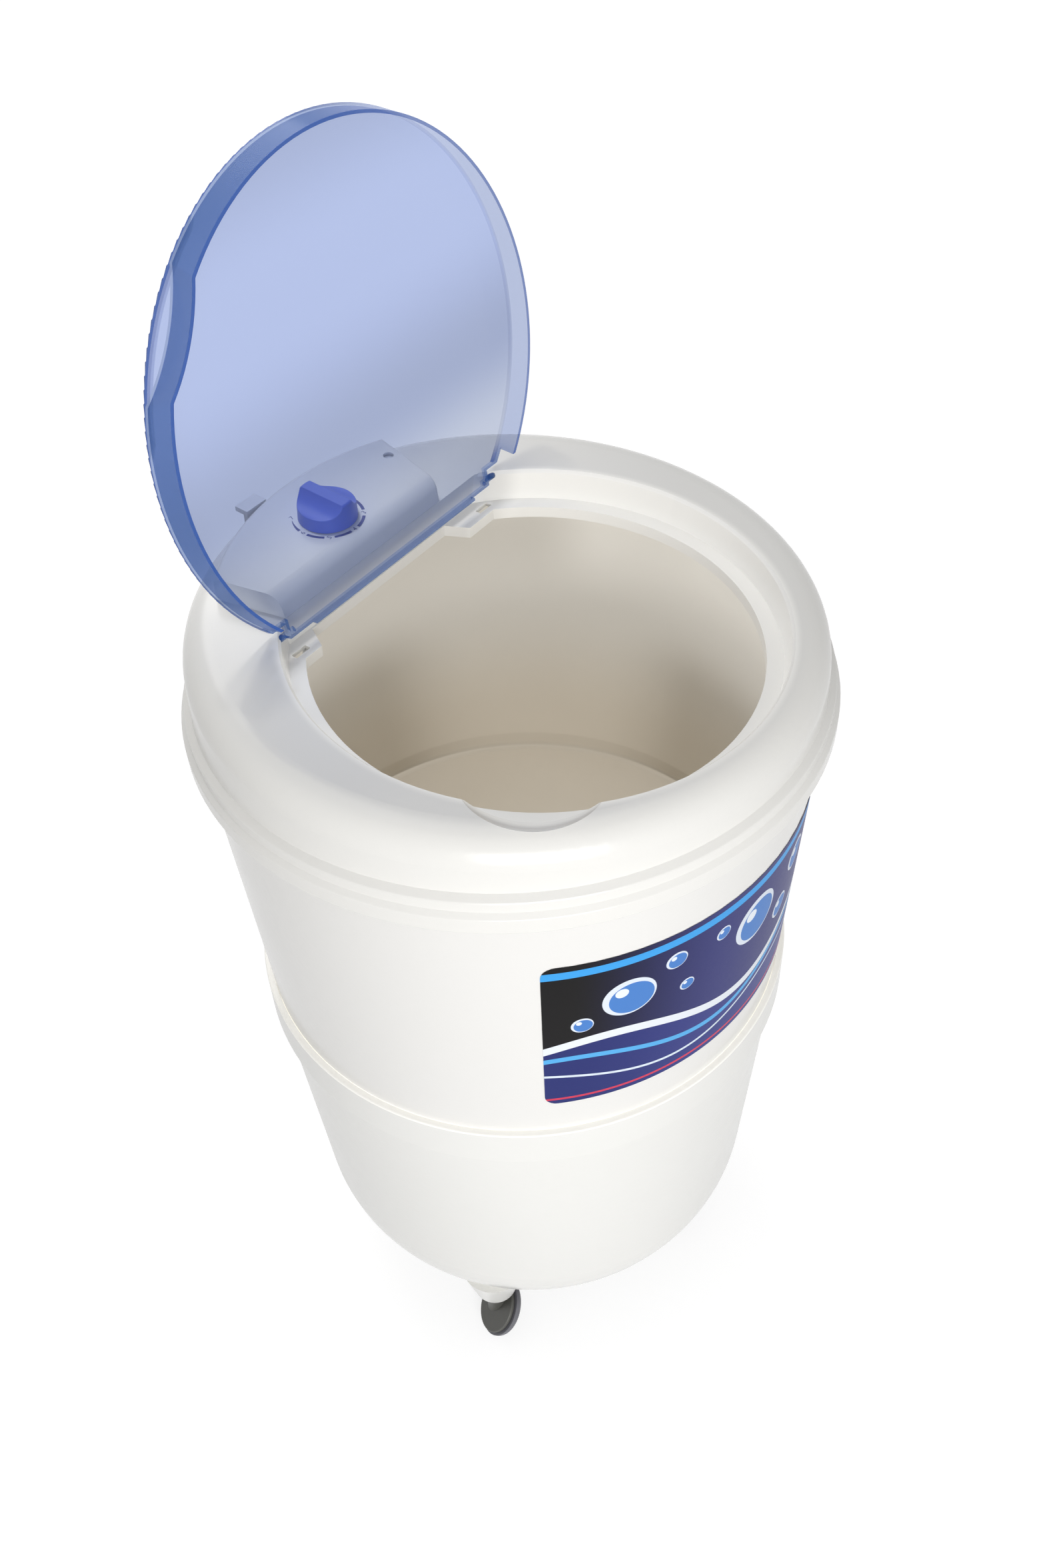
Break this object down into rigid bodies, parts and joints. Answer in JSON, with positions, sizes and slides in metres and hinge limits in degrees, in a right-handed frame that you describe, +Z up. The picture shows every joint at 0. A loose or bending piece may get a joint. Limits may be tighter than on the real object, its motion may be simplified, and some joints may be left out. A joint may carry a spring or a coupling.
{
  "type": "washing machine",
  "caption": "Round top-loading washing machine on casters: white tub and bowl base, slanted collar, hinged clear blue lid, timer dial, belt-driven pulsator.",
  "frame": {"origin": "on the floor under the tub's axis", "axes": "+Z up, -Y to the front, +X to the right as seen from the front"},
  "size_m": [0.476, 0.476, 1.0591],
  "materials": {
    "white_plastic": "moulded, light sheen",
    "blue_clear": "clear tinted moulding",
    "blue_plastic": "moulded, satin",
    "cream_plastic": "moulded, matt",
    "grey_plastic": "moulded, matt",
    "caster_grey": "moulded, satin",
    "caster_black": "moulded, satin",
    "zinc_steel": "zinc plated",
    "bronze": "sintered",
    "cast_aluminium": "cast, matt",
    "dark_paint": "black enamel",
    "black_rubber": "moulded, matt"
  },
  "bodies": {
    "machine": {"base": "white_plastic", "bearing_housing": "grey_plastic", "bottom_cover": "grey_plastic", "bottom_screws": "zinc_steel", "bracket_bolts": "zinc_steel", "cable_duct": "white_plastic", "capacitor": "grey_plastic", "capacitor_nut": "zinc_steel", "control_panel": "white_plastic", "cord_gland": "black_rubber", "drain_elbow": "grey_plastic", "drain_gasket": "black_rubber", "drain_strainer": "cream_plastic", "drive_belt": "black_rubber", "hose_hook": "white_plastic", "housing_screws": "zinc_steel", "lower_bush": "bronze", "motor_body": "cast_aluminium", "motor_bolts": "zinc_steel", "motor_bracket": "dark_paint", "panel_screw": "zinc_steel", "shaft_seal": "black_rubber", "timer_body": "cream_plastic", "timer_screws": "zinc_steel", "top_cover": "white_plastic", "tub": "white_plastic", "upper_bush": "bronze", "wire_harness": "black_rubber"},
    "lid": {"lid": "blue_clear"},
    "dial": {"timer_knob": "blue_plastic", "timer_shaft": "zinc_steel"},
    "drive": {"drive_shaft": "zinc_steel", "driven_pulley": "cast_aluminium", "pulley_nut": "zinc_steel", "pulsator": "white_plastic", "pulsator_screw": "zinc_steel"},
    "rotor": {"motor_pulley": "cast_aluminium", "motor_shaft": "zinc_steel"},
    "swivel_1": {"caster_1_hood": "caster_grey", "caster_1_stem": "zinc_steel", "caster_1_axle": "zinc_steel"},
    "roller_1": {"caster_1_wheel": "caster_black"},
    "swivel_2": {"caster_2_hood": "caster_grey", "caster_2_stem": "zinc_steel", "caster_2_axle": "zinc_steel"},
    "roller_2": {"caster_2_wheel": "caster_black"},
    "swivel_3": {"caster_3_hood": "caster_grey", "caster_3_stem": "zinc_steel", "caster_3_axle": "zinc_steel"},
    "roller_3": {"caster_3_wheel": "caster_black"},
    "swivel_4": {"caster_4_hood": "caster_grey", "caster_4_stem": "zinc_steel", "caster_4_axle": "zinc_steel"},
    "roller_4": {"caster_4_wheel": "caster_black"}
  },
  "joints": [
    {"name": "lid_hinge", "type": "hinge", "parent": "machine", "child": "lid", "pos_m": [0, 0.10354, 0.75623], "axis": [1, 0, 0], "range_deg": [0, 101]},
    {"name": "timer_turn", "type": "hinge", "parent": "machine", "child": "dial", "pos_m": [-0.015, 0.14892, 0.77991], "axis": [0, -0.0495, 0.9988], "range_deg": [-300, 0]},
    {"name": "pulsator_spin", "type": "hinge", "parent": "machine", "child": "drive", "pos_m": [0, 0, 0.168], "axis": [0, 0, 1], "continuous": true},
    {"name": "motor_spin", "type": "hinge", "parent": "machine", "child": "rotor", "pos_m": [0, 0.095, 0.168], "axis": [0, 0, 1], "continuous": true},
    {"name": "caster_1_swivel", "type": "hinge", "parent": "machine", "child": "swivel_1", "pos_m": [-0.14649, -0.05919, 0.062], "axis": [0, 0, 1], "continuous": true},
    {"name": "caster_1_roll", "type": "hinge", "parent": "swivel_1", "child": "roller_1", "pos_m": [-0.14606, -0.06514, 0.02153], "axis": [-0.5763, 0.5262, 0.6252], "continuous": true},
    {"name": "caster_2_swivel", "type": "hinge", "parent": "machine", "child": "swivel_2", "pos_m": [0.05919, -0.14649, 0.062], "axis": [0, 0, 1], "continuous": true},
    {"name": "caster_2_roll", "type": "hinge", "parent": "swivel_2", "child": "roller_2", "pos_m": [0.05473, -0.15046, 0.02153], "axis": [0.068, 0.7775, 0.6252], "continuous": true},
    {"name": "caster_3_swivel", "type": "hinge", "parent": "machine", "child": "swivel_3", "pos_m": [0.14649, 0.05919, 0.062], "axis": [0, 0, 1], "continuous": true},
    {"name": "caster_3_roll", "type": "hinge", "parent": "swivel_3", "child": "roller_3", "pos_m": [0.14054, 0.05954, 0.02153], "axis": [0.5978, 0.5017, 0.6252], "continuous": true},
    {"name": "caster_4_swivel", "type": "hinge", "parent": "machine", "child": "swivel_4", "pos_m": [-0.05919, 0.14649, 0.062], "axis": [0, 0, 1], "continuous": true},
    {"name": "caster_4_roll", "type": "hinge", "parent": "swivel_4", "child": "roller_4", "pos_m": [-0.05385, 0.14916, 0.02153], "axis": [-0.2669, -0.7334, 0.6252], "continuous": true}
  ],
  "couplings": [
    {"joint": "motor_spin", "follows": "pulsator_spin", "ratio": 2.7619}
  ]
}
